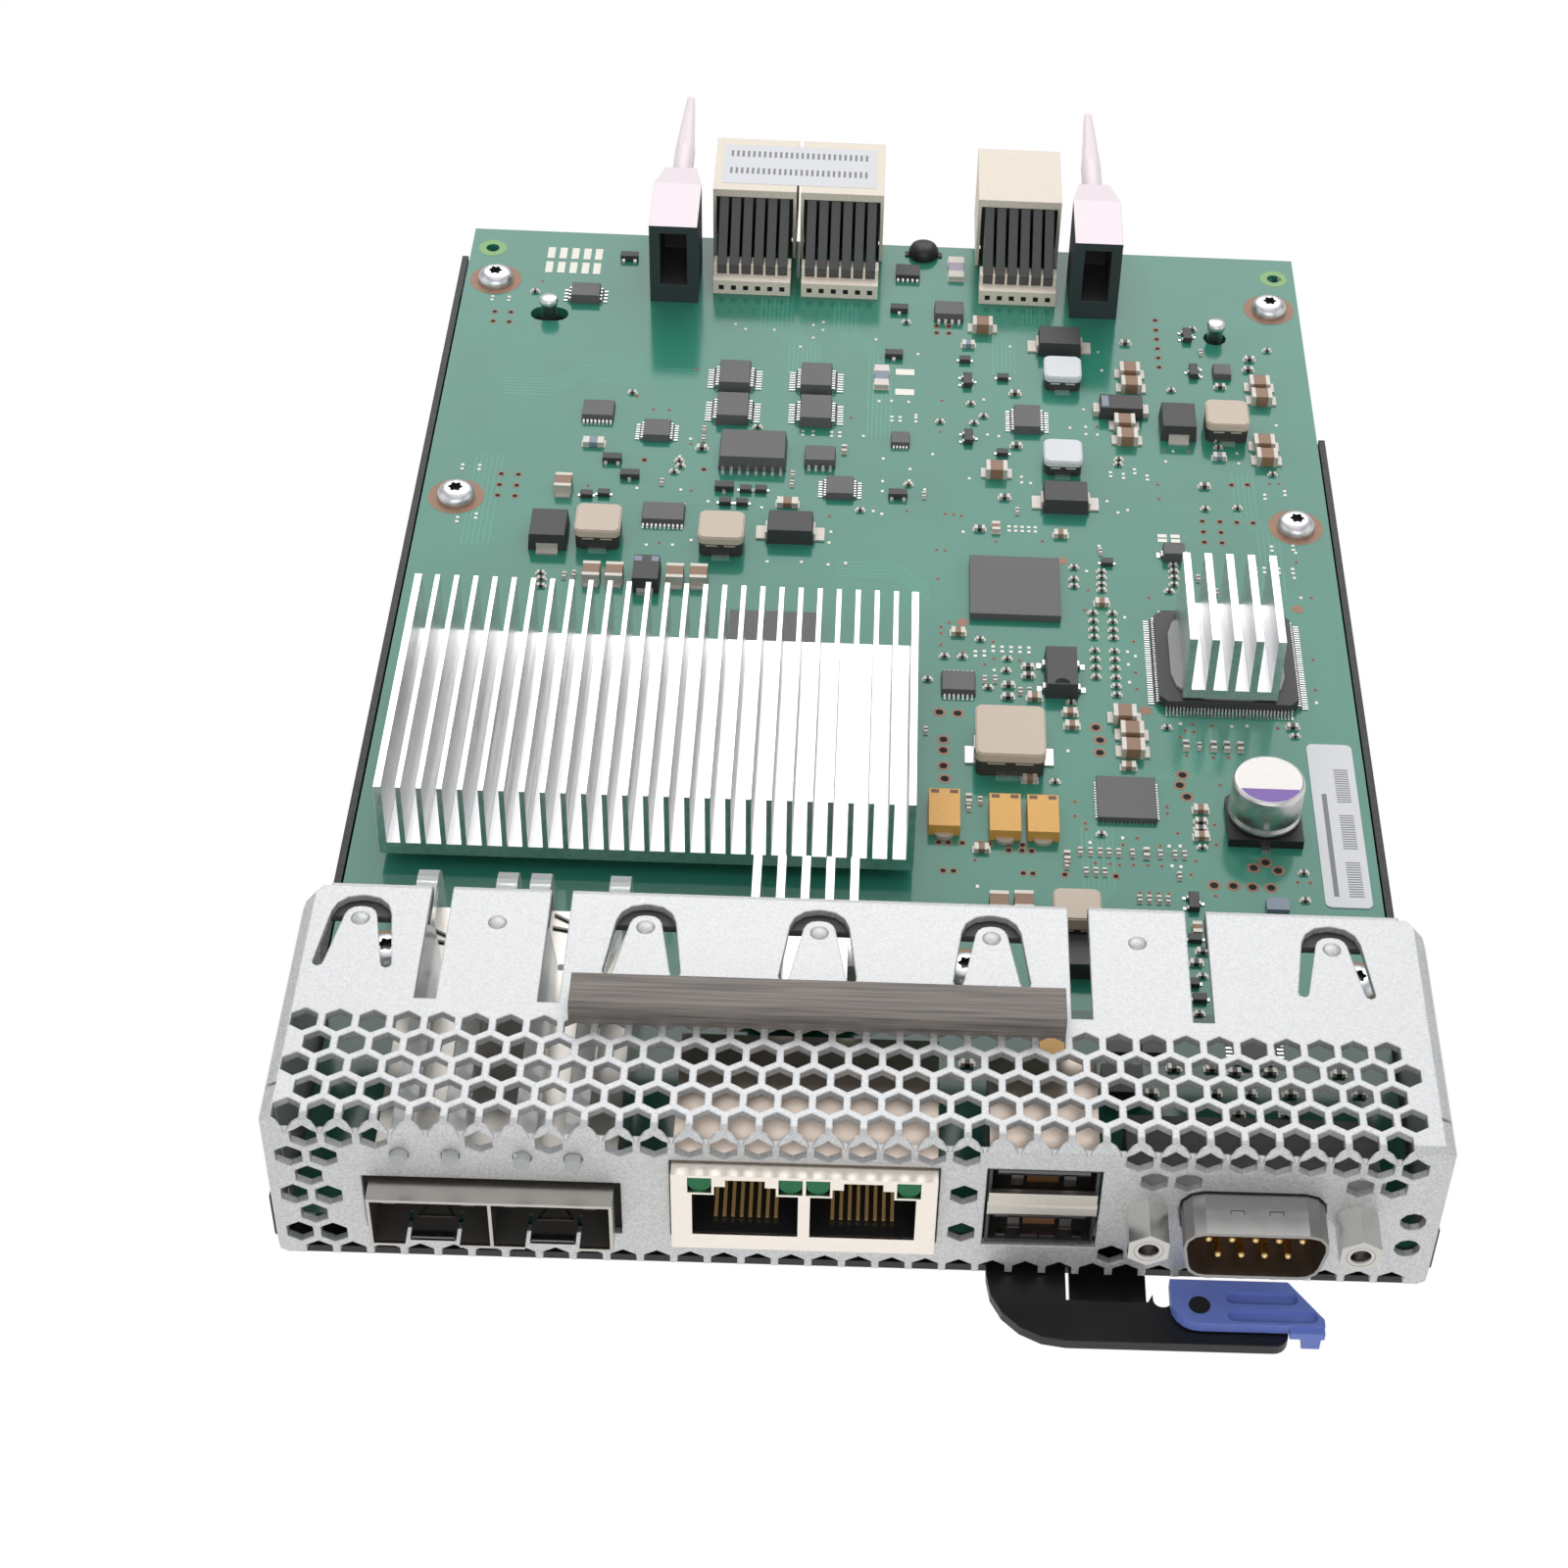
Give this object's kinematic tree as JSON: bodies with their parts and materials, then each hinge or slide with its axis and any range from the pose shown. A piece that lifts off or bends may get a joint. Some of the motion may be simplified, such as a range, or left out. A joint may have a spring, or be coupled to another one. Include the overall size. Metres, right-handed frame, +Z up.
{
  "type": "ethernet adapter card",
  "caption": "Server ethernet adapter card: board in a black tray behind a perforated folded faceplate with network, module, bus and serial ports, and an ejector lever with a blue latch",
  "frame": {"origin": "On the tray's flat underside, midway between the ends of its walls", "axes": "+X to the right seen from the faceplate, +Y from the faceplate to the backplane connectors, +Z up, away from the tray's underside"},
  "size_m": [0.141, 0.2496, 0.0305],
  "materials": {
    "zinc_sheet": "spangled zinc, satin",
    "black_paint": "satin black",
    "bright_steel": "bright",
    "board_green": "solder mask, semi-gloss",
    "gasket_cloth": "woven metallised cloth",
    "shield_metal": "tin plated, bright",
    "seal_foam": "matt",
    "black_plastic": "matt moulded",
    "clear_plastic": "clear",
    "lamp_white": "milky",
    "lamp_green": "tinted clear",
    "contact_gold": "gold plated",
    "insulator_brown": "moulded",
    "nickel": "nickel plated",
    "sink_metal": "extruded, satin",
    "adhesive": "cured epoxy",
    "chip_black": "moulded",
    "can_metal": "drawn, bright",
    "ivory_plastic": "moulded",
    "tantalum_yellow": "moulded",
    "choke_beige": "sintered",
    "choke_white": "sintered",
    "ceramic_tan": "fired ceramic",
    "label_white": "paper, bare",
    "latch_blue": "moulded, satin",
    "pin_black": "black oxide"
  },
  "bodies": {
    "card": {"backplane_housings": "ivory_plastic", "backplane_organisers": "ivory_plastic", "backplane_wafers": "black_plastic", "ball_grid_chip": "chip_black", "board_label": "label_white", "board_screws": "bright_steel", "board_standoffs": "bright_steel", "capacitor_base": "black_plastic", "capacitor_can": "can_metal", "ceramic_capacitors": "ceramic_tan", "circuit_board": "board_green", "dark_tantalums": "chip_black", "emi_gasket": "gasket_cloth", "faceplate": "zinc_sheet", "flat_no_lead_chip": "chip_black", "guide_module_left": "nickel", "guide_module_right": "nickel", "indicator_lamps": "lamp_white", "isolator": "chip_black", "large_choke": "choke_beige", "large_heatsink": "sink_metal", "lever_pivot": "pin_black", "light_pipes": "clear_plastic", "main_chip": "chip_black", "port_chip": "chip_black", "port_heatsink": "sink_metal", "port_heatsink_adhesive": "adhesive", "power_chokes": "choke_beige", "power_diodes": "chip_black", "quad_flat_chip": "chip_black", "rear_chip": "chip_black", "rj45_contacts": "contact_gold", "rj45_housing": "black_plastic", "rj45_lamps": "lamp_green", "rj45_shield": "shield_metal", "serial_insulator": "insulator_brown", "serial_jack_nuts": "nickel", "serial_pins": "contact_gold", "serial_shell": "shield_metal", "sfp_cage": "shield_metal", "sfp_seal": "seal_foam", "sfp_sockets": "black_plastic", "small_chips": "chip_black", "small_heatsink": "sink_metal", "small_heatsink_adhesive": "adhesive", "tantalum_capacitors": "tantalum_yellow", "tray": "black_paint", "tray_studs": "bright_steel", "usb_contacts": "contact_gold", "usb_shell": "shield_metal", "usb_tongues": "black_plastic", "white_chokes": "choke_white"},
    "lever": {"lever": "black_paint", "latch_pin": "pin_black"},
    "latch": {"latch": "latch_blue"}
  },
  "joints": [
    {"name": "lever_swing", "type": "hinge", "parent": "card", "child": "lever", "pos_m": [0.0205, -0.089, 0.00225], "axis": [0, 0, -1], "range_deg": [0, 50]},
    {"name": "latch_squeeze", "type": "hinge", "parent": "lever", "child": "latch", "pos_m": [0.0411, -0.1092, 0.0041], "axis": [0, 0, -1], "range_deg": [0, 10], "stiffness_Nm_per_rad": 0.05}
  ]
}
